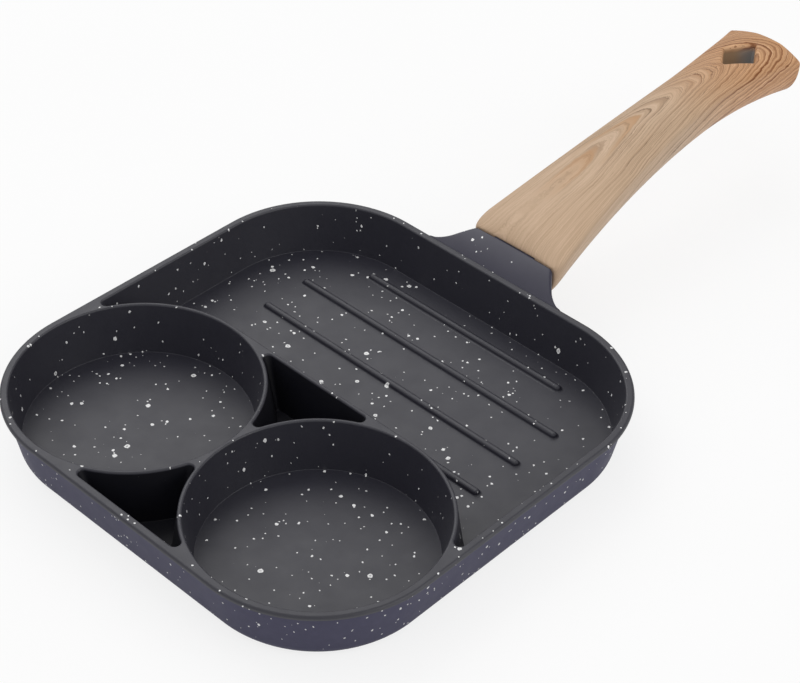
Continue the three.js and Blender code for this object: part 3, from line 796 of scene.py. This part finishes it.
# Wood grain, in millimetres; a run is a stretch of the grip, in shares of the way from its root to its tip
GRAIN_LIFT = 55
GRAIN_LIFT_BOW = 3
GRAIN_BEND = 2.1
GRAIN_BEND_ROUND = (5, 8)
GRAIN_BEND_RUN = (0.5, 0.8)
GRAIN_MIDDLE = (-4.5, 5.5)
GRAIN_MIDDLE_RUN = (0.6, 1.05)
GRAIN_SWAY = (0.8, 6.0)
GRAIN_SWAY_RUN = (0.05, 0.5)
GRAIN_SWAY_WAVES = 0.06
GRAIN_SWAY_STRETCH = (1, 0.3, 1)
GRAIN_RIPPLE = (0.5, 2.6)
GRAIN_RIPPLE_RUN = (0.45, 0.8)
GRAIN_RIPPLE_WAVES = 0.22
GRAIN_JAG = 0.7
GRAIN_JAG_STRETCH = (1.6, 0.025, 1.6)
GRAIN_SIDE_STEP = 1.3
GRAIN_STRETCH = 0.025
TIP_RUN = (0.5, 0.88)
ROOT_RUN = (0.12, 0.5)
ROOT_SHARE = 0.2

# Rings with darker late wood, fine lines and hairs
GRAIN_RING = 3.0
RING_WAVER_WAVES = 0.9
RING_BOLD_BAND = (0.3, 1)
RING_TIP_BOLD = 0.5
LATE_SHARPNESS = 2.6
LATE_SHARES = (0.4, 1)
EDGE_SHARPNESS = 4.0
FINE_RING = 0.9
FINE_WAVER = 2.5
FINE_SHARPNESS = 2.5
FINE_SHARES = (0.2, 0.8)
STREAK_WAVES = 1.1
STREAK_BAND = (0.45, 0.62)
STREAK_TIP_SHARE = 0.55
HAIR_WAVES = 5.5
HAIR_BAND = (0.37, 0.26)
HAIR_SHARE = 0.4

# Flames: warm arches, each of which ends at a share of the way along the grip
FLAME_ENDS = (0.34, 0.50)
FLAME_WIDTH = 2.6
FLAME_EDGE = 0.5
FLAME_RUN = 0.22
FLAME_SHARE = 0.75

# Tones of the wood and, inside the hole, how far below the top the film ends and where the tone below it
# turns from brown to grey
FIBRE_WAVES = 1.6
PALE_TONES = ((0.50, 0.345, 0.222, 1), (0.65, 0.468, 0.325, 1))
TAN_TONES = ((0.55, 0.28, 0.122, 1), (0.77, 0.475, 0.275, 1))
FLAME_TONE = (0.47, 0.235, 0.085, 1)
LATE_TONE = (0.27, 0.085, 0.016, 1)
LINE_TONES = ((0.17, 0.11, 0.055, 1), (0.155, 0.041, 0.004, 1))
HAIR_TONE = (0.22, 0.125, 0.06, 1)
HOLE_WALL_TONES = ((0.36, 0.245, 0.15, 1), (0.32, 0.32, 0.32, 1))
FILM_END = (0.6, 4.5)
HOLE_WALL_GREY_RUN = (HOLE_MIDDLE / MM + 3, HOLE_MIDDLE / MM + 11)
WOOD_ROUGHNESS = (0.52, 0.44)
WOOD_IOR = 1.38
WOOD_GRAIN_STRENGTH = 0.15
WOOD_GRAIN_HEIGHT = 0.08 * MM


def grip_places(nodes, place):
    """Share of the way along the grip, and depth below the line of its crowned top."""
    _, y, z = nodes.split(place)
    along = nodes.spread(y, GRIP_START / MM, GRIP_END / MM)
    from_peak = nodes.math("ABSOLUTE", nodes.math("SUBTRACT", along, GRIP_PEAK_PLACE / GRIP_LENGTH))
    fall = nodes.math("POWER", nodes.math("MULTIPLY", from_peak, GRIP_LENGTH / GRIP_PEAK_PLACE), GRIP_BOW)
    drop = (GRIP_PEAK_EDGE_HEIGHT - GRIP_ROOT_EDGE_HEIGHT) / MM
    peak = (PAN_HEIGHT + GRIP_PEAK_EDGE_HEIGHT + GRIP_CROWN + GRIP_EDGE) / MM
    level = nodes.math("SUBTRACT", peak, nodes.math("MULTIPLY", fall, drop))
    short = nodes.spread(along, 0, GRIP_FRONT_ROUND / GRIP_LENGTH, 1, 0)
    grown = nodes.math("SQRT", nodes.math("SUBTRACT", 1.0, nodes.math("MULTIPLY", short, short)))
    front_drop = (GRIP_ROOT_EDGE_HEIGHT + GRIP_CROWN + GRIP_EDGE - JOINT_TOP) / MM
    level = nodes.math("MULTIPLY_ADD", nodes.math("SUBTRACT", grown, 1.0), front_drop, level)
    return along, nodes.math("MAXIMUM", nodes.math("SUBTRACT", level, z), 0.0)


def grain_flow(nodes, place, along):
    """Place on the grip with its sides drawn straight, so that the grain follows them."""
    x, y, z = nodes.split(place)
    waist = GRIP_WAIST_PLACE / GRIP_LENGTH
    before = nodes.math("POWER", nodes.spread(along, waist, 0), GRIP_BOW)
    behind = nodes.math("POWER", nodes.spread(along, waist, 1), GRIP_BOW)
    widening = nodes.math("MULTIPLY_ADD", before, GRIP_ROOT_WIDTH / GRIP_WAIST_WIDTH - 1, 1.0)
    widening = nodes.math("MULTIPLY_ADD", behind, GRIP_END_WIDTH / GRIP_WAIST_WIDTH - 1, widening)
    return nodes.add("CombineXYZ", {0: nodes.math("DIVIDE", x, widening), 1: y, 2: z}).outputs[0]


def grain_depth(nodes, flow, along, below):
    """Distance across the rings: arches that open towards the pan on top, and lines along the sides."""
    x = nodes.split(flow)[0]
    slow_place = nodes.vector("MULTIPLY", flow, GRAIN_SWAY_STRETCH)
    sway = nodes.split(nodes.centred_noise(slow_place, GRAIN_SWAY_WAVES, detail=2.0))
    swing = nodes.spread(along, *GRAIN_SWAY_RUN, *GRAIN_SWAY)
    middle = nodes.spread(along, *GRAIN_MIDDLE_RUN, *GRAIN_MIDDLE, smooth=True)
    across = nodes.math("SUBTRACT", nodes.math("MULTIPLY_ADD", sway[0], swing, x), middle)
    round_off = nodes.spread(along, *GRAIN_BEND_RUN, *GRAIN_BEND_ROUND)
    span = nodes.math("MULTIPLY_ADD", across, across, nodes.math("MULTIPLY", round_off, round_off))
    bend = nodes.math("MULTIPLY", nodes.math("SUBTRACT", nodes.math("SQRT", span), round_off), GRAIN_BEND)
    rise = nodes.math("MULTIPLY_ADD", nodes.math("POWER", along, GRAIN_LIFT_BOW), GRAIN_LIFT, bend)
    ripple = nodes.math("SUBTRACT", nodes.noise(flow, GRAIN_RIPPLE_WAVES, detail=2.0), 0.5)
    ripple_size = nodes.spread(along, *GRAIN_RIPPLE_RUN, *GRAIN_RIPPLE)
    rippled = nodes.math("MULTIPLY_ADD", ripple, ripple_size, rise)
    lift = nodes.math("MULTIPLY_ADD", sway[1], swing, rippled)
    sided = nodes.math("MULTIPLY_ADD", below, GRAIN_SIDE_STEP, lift)
    jag = nodes.noise(nodes.vector("MULTIPLY", flow, GRAIN_JAG_STRETCH), waves=1.0, detail=1.0)
    return nodes.math("MULTIPLY_ADD", jag, GRAIN_JAG, sided)


def grain_rings(nodes, grain_place, depth, tipwards):
    """The waver of the rings' edges, the place within a ring from 0 to 1, and how bold the ring is."""
    waver = nodes.math("SUBTRACT", nodes.noise(grain_place, RING_WAVER_WAVES, detail=3.0), 0.5)
    turns = nodes.math("ADD", waver, nodes.math("DIVIDE", depth, GRAIN_RING))
    number = nodes.math("FLOOR", turns)
    strong = nodes.add("TexWhiteNoise", {"W": number}, noise_dimensions="1D").outputs["Value"]
    tip_bold = nodes.math("MULTIPLY", tipwards, RING_TIP_BOLD)
    bold = nodes.math("MAXIMUM", nodes.spread(strong, *RING_BOLD_BAND), tip_bold)
    return waver, nodes.math("FRACT", turns), bold


def with_flames(nodes, colour, along, depth):
    """Colour with warm arches near the middle of the grip."""
    for end in FLAME_ENDS:
        apex = GRAIN_LIFT * end ** GRAIN_LIFT_BOW
        inner = nodes.spread(depth, apex - FLAME_WIDTH, apex, smooth=True)
        outer = nodes.spread(depth, apex + FLAME_EDGE, apex)
        run = nodes.spread(along, end - FLAME_RUN, end, 0, FLAME_SHARE)
        flame = nodes.math("MULTIPLY", nodes.math("MULTIPLY", inner, outer), run)
        colour = nodes.mix(flame, colour, FLAME_TONE)
    return colour


def with_late_wood(nodes, colour, ring, bold, tipwards, off_root):
    """Colour that darkens towards the end of each ring."""
    share = nodes.math("MULTIPLY", off_root, nodes.spread(tipwards, 0, 1, *LATE_SHARES))
    late = nodes.math("MULTIPLY", nodes.math("POWER", ring, LATE_SHARPNESS), bold)
    return nodes.mix(nodes.math("MULTIPLY", late, share), colour, LATE_TONE)


def fine_lines(nodes, grain_place, depth, waver, tipwards, off_root):
    """Fine lines between the rings, in streaks that crowd towards the tip."""
    turns = nodes.math("MULTIPLY_ADD", waver, FINE_WAVER, nodes.math("DIVIDE", depth, FINE_RING))
    streak = nodes.spread(nodes.noise(grain_place, STREAK_WAVES, detail=2.0), *STREAK_BAND)
    crowd = nodes.math("MAXIMUM", streak, nodes.math("MULTIPLY", tipwards, STREAK_TIP_SHARE))
    share = nodes.math("MULTIPLY", crowd, nodes.spread(off_root, ROOT_SHARE, 1, *FINE_SHARES))
    return nodes.math("MULTIPLY", nodes.math("POWER", nodes.math("FRACT", turns), FINE_SHARPNESS), share)


def with_hairs(nodes, colour, grain_place, off_root):
    """Colour with short dark hairs along the grain."""
    hair = nodes.spread(nodes.noise(grain_place, HAIR_WAVES, detail=2.0), *HAIR_BAND, 0, HAIR_SHARE)
    return nodes.mix(nodes.math("MULTIPLY", hair, off_root), colour, HAIR_TONE)


def with_hole_wall(nodes, colour, place, below):
    """Colour inside the hole: below where the film ends, a tone that turns from brown to grey along the grip.
    """
    greyed = nodes.spread(nodes.split(place)[1], *HOLE_WALL_GREY_RUN, smooth=True)
    wall_tone = nodes.mix(greyed, *HOLE_WALL_TONES)
    return nodes.mix(nodes.spread(below, *FILM_END, smooth=True), colour, wall_tone)


def wood_look(name, inside_hole):
    """Pale wood-grain film, more orange and more strongly ringed towards the tip."""
    nodes = Nodes(name)
    place = nodes.place()
    along, below = grip_places(nodes, place)
    tipwards = nodes.spread(along, *TIP_RUN, smooth=True)
    off_root = nodes.spread(along, *ROOT_RUN, ROOT_SHARE, 1, smooth=True)
    depth = grain_depth(nodes, grain_flow(nodes, place, along), along, below)
    stretched = nodes.math("MULTIPLY", along, GRIP_LENGTH / MM * GRAIN_STRETCH)
    grain_place = nodes.add("CombineXYZ", {0: depth, 1: stretched, 2: 0.0}).outputs[0]
    waver, ring, bold = grain_rings(nodes, grain_place, depth, tipwards)

    fibre = nodes.spread(nodes.noise(grain_place, FIBRE_WAVES, detail=4.0), *NOISE_BAND)
    colour = nodes.mix(tipwards, nodes.mix(fibre, *PALE_TONES), nodes.mix(fibre, *TAN_TONES))
    colour = with_flames(nodes, colour, along, depth)
    colour = with_late_wood(nodes, colour, ring, bold, tipwards, off_root)
    fine_line = fine_lines(nodes, grain_place, depth, waver, tipwards, off_root)
    sharp_edge = nodes.math("POWER", ring, EDGE_SHARPNESS)
    edge_line = nodes.math("MULTIPLY", sharp_edge, nodes.math("MULTIPLY", bold, off_root))
    line = nodes.math("MAXIMUM", fine_line, edge_line)
    colour = nodes.mix(line, colour, nodes.mix(tipwards, *LINE_TONES))
    colour = with_hairs(nodes, colour, grain_place, off_root)
    if inside_hole:
        colour = with_hole_wall(nodes, colour, place, below)
    return nodes.surface(
        Base_Color=colour,
        Roughness=nodes.spread(fibre, 0, 1, *WOOD_ROUGHNESS),
        IOR=WOOD_IOR,
        Normal=nodes.bump(nodes.math("SUBTRACT", fibre, line), WOOD_GRAIN_STRENGTH, WOOD_GRAIN_HEIGHT),
    )


ZINC_TONES = ((0.42, 0.43, 0.45, 1), (0.56, 0.57, 0.58, 1))
ZINC_TONE_WAVES = 0.8
ZINC_ROUGHNESS = (0.28, 0.42)
ZINC_MARK_STRETCH = (9, 9, 1)
ZINC_MARK_STRENGTH = 0.1
ZINC_MARK_HEIGHT = 0.03 * MM


def zinc_steel():
    """Zinc-plated steel with faint turned marks."""
    nodes = Nodes("zinc_steel")
    place = nodes.place()
    marks = nodes.noise(nodes.vector("MULTIPLY", place, ZINC_MARK_STRETCH), waves=1.0, detail=2.0)
    return nodes.surface(
        Base_Color=nodes.mix(nodes.noise(place, ZINC_TONE_WAVES, detail=3.0), *ZINC_TONES),
        Metallic=1.0,
        Roughness=nodes.spread(marks, *NOISE_BAND, *ZINC_ROUGHNESS),
        Normal=nodes.bump(marks, ZINC_MARK_STRENGTH, ZINC_MARK_HEIGHT),
    )


BASE_TONES = ((0.034, 0.034, 0.044, 1), (0.070, 0.070, 0.086, 1))
BASE_BAND_WAVES = 0.5
BASE_ROUGHNESS = (0.4, 0.5)
BASE_GLOSS_WAVES = 0.06
BASE_RING_TURN = 4.2
BASE_RING_STRENGTH = 0.25
BASE_RING_HEIGHT = 0.05 * MM


def base_coat():
    """Underside: a dark coat over turned rings."""
    nodes = Nodes("turned_base")
    place = nodes.place()
    x, y, _ = nodes.split(place)
    radius = nodes.math("SQRT", nodes.math("ADD", nodes.math("POWER", x, 2), nodes.math("POWER", y, 2)))
    rings = nodes.math("SINE", nodes.math("MULTIPLY", radius, BASE_RING_TURN))
    outwards = nodes.add("CombineXYZ", {0: radius, 1: 0.0, 2: 0.0}).outputs[0]
    bands = nodes.spread(nodes.noise(outwards, BASE_BAND_WAVES, detail=3.0), *NOISE_BAND)
    cloud = nodes.noise(place, BASE_GLOSS_WAVES, detail=3.0)
    return nodes.surface(
        Base_Color=nodes.mix(bands, *BASE_TONES),
        Roughness=nodes.spread(cloud, *NOISE_BAND, *BASE_ROUGHNESS),
        Normal=nodes.bump(rings, BASE_RING_STRENGTH, BASE_RING_HEIGHT),
    )


# Pieces

PAN_COATS = (
    coat("outside_coat", OUTSIDE_TONES, OUTSIDE_SPECKS, roughness=0.48, ior=1.12, speck_tone=0.85),
    coat("inside_coat", INSIDE_TONES, INSIDE_SPECKS, roughness=0.52, ior=1.75, speck_tone=1.0),
    coat("lug_coat", LUG_TONES, INSIDE_SPECKS, roughness=0.40, ior=1.6, speck_tone=1.0),
    # The pocket coat is painted shade: a much darker copy of the inside coat, with its specks dimmed to a
    # tone of 0.12.
    coat("pocket_painted_shade_coat", POCKET_SHADE_TONES, POCKET_SPECKS, roughness=0.50, ior=1.45, speck_tone=0.12),
    base_coat(),
)
pan = pan_body()
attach(pan, "root")
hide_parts("pan_body")

GRIP_COATS = (
    wood_look("wood_look_film", inside_hole=False),
    wood_look("hole_film", inside_hole=True),
)
grip = handle_grip()
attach(grip, "root")
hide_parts("handle_grip")

steel = zinc_steel()
for name in ("handle_screw", "spring_washer", "flat_washer"):
    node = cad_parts[name]
    node.data.materials.clear()
    node.data.materials.append(steel)


# Floor, light and camera

FLOOR_SIZE = 8.0
FLOOR_GAP = 0.2 * MM
FLOOR_TONES = ((0.90, 0.90, 0.90, 1), (0.94, 0.94, 0.94, 1))
FLOOR_TONE_WAVES = 0.01
FLOOR_WHITE = 0.8
CLEAR_REACH = 1 * MM
WORLD_STRENGTH = 0.42


def floor_material():
    """Pale floor that shows white and keeps a soft shadow; from below, and from a face on it, it is clear."""
    nodes = Nodes("pale_floor")
    path = nodes.add("LightPath", {}).outputs
    tone = nodes.mix(nodes.noise(nodes.place(), FLOOR_TONE_WAVES, detail=2.0), *FLOOR_TONES)
    matt = nodes.add("BsdfDiffuse", {"Color": tone}).outputs[0]
    white = nodes.add("Emission", {"Color": (1, 1, 1, 1), "Strength": 1.0}).outputs[0]
    straight = nodes.math("MAXIMUM", path["Is Camera Ray"], path["Is Transmission Ray"])
    seen = nodes.math("MAXIMUM", straight, path["Is Glossy Ray"])
    whiteness = nodes.math("MULTIPLY", seen, FLOOR_WHITE)
    shown = nodes.add("MixShader", {0: whiteness, 1: matt, 2: white}).outputs[0]
    clear = nodes.add("BsdfTransparent", {}).outputs[0]
    behind = nodes.add("NewGeometry", {}).outputs["Backfacing"]
    resting = nodes.math("LESS_THAN", path["Ray Length"], CLEAR_REACH)
    through = nodes.math("MAXIMUM", behind, resting)
    both = nodes.add("MixShader", {0: through, 1: shown, 2: clear}).outputs[0]
    nodes.add("OutputMaterial", {"Surface": both})
    return nodes.material


def pale_floor():
    half = FLOOR_SIZE / 2
    corners = [(-half, -half), (half, -half), (half, half), (-half, half)]
    return mesh_object("floor", [(x, y, -FLOOR_GAP) for x, y in corners], [(0, 1, 2, 3)], [floor_material()])


def studio_world():
    world = bpy.data.worlds.new("studio")
    world.use_nodes = True
    background = world.node_tree.nodes["Background"]
    background.inputs["Color"].default_value = (1, 1, 1, 1)
    background.inputs["Strength"].default_value = WORLD_STRENGTH
    bpy.context.scene.world = world


def softbox(name, place, target, size, power):
    light = bpy.data.lights.new(name, "AREA")
    light.shape = "RECTANGLE"
    light.size = size[0]
    light.size_y = size[1]
    light.energy = power
    lamp = bpy.data.objects.new(name, light)
    lamp.location = place
    lamp.rotation_euler = (Vector(target) - Vector(place)).to_track_quat("-Z", "Y").to_euler()
    bpy.context.scene.collection.objects.link(lamp)
    return lamp


floor = pale_floor()
studio_world()
softbox("key", place=(-1.5, 0.6, 1.7), target=(0, 0.05, 0), size=(2.4, 1.8), power=19)
overhead = softbox("top", place=(0.0, -1.1, 2.1), target=(0, 0.05, 0), size=(3.2, 3.2), power=23)
overhead.visible_glossy = False
softbox("side", place=(1.6, 0.6, 1.1), target=(0, 0.1, 0), size=(1.4, 1.0), power=9)

# The photograph's view
IMAGE_WIDTH = 800
FOCAL_PIXELS = 2012.9
SENSOR_WIDTH = 36.0
CAMERA_PLACE = Vector((0.39081, -0.38739, 0.49572))
CAMERA_AZIMUTH = math.radians(42.272)
CAMERA_ELEVATION = math.radians(39.307)
CAMERA_ROLL = math.radians(1.910)


def camera():
    data = bpy.data.cameras.new("camera")
    data.sensor_width = SENSOR_WIDTH
    data.sensor_fit = "HORIZONTAL"
    data.lens = SENSOR_WIDTH * FOCAL_PIXELS / IMAGE_WIDTH
    turn = Matrix.Rotation(CAMERA_AZIMUTH, 4, "Z") @ Matrix.Rotation(RIGHT_ANGLE - CAMERA_ELEVATION, 4, "X")
    eye = bpy.data.objects.new("camera", data)
    eye.matrix_world = Matrix.Translation(CAMERA_PLACE) @ turn @ Matrix.Rotation(CAMERA_ROLL, 4, "Z")
    bpy.context.scene.collection.objects.link(eye)
    bpy.context.scene.camera = eye


camera()
bpy.context.scene.view_settings.view_transform = "Standard"
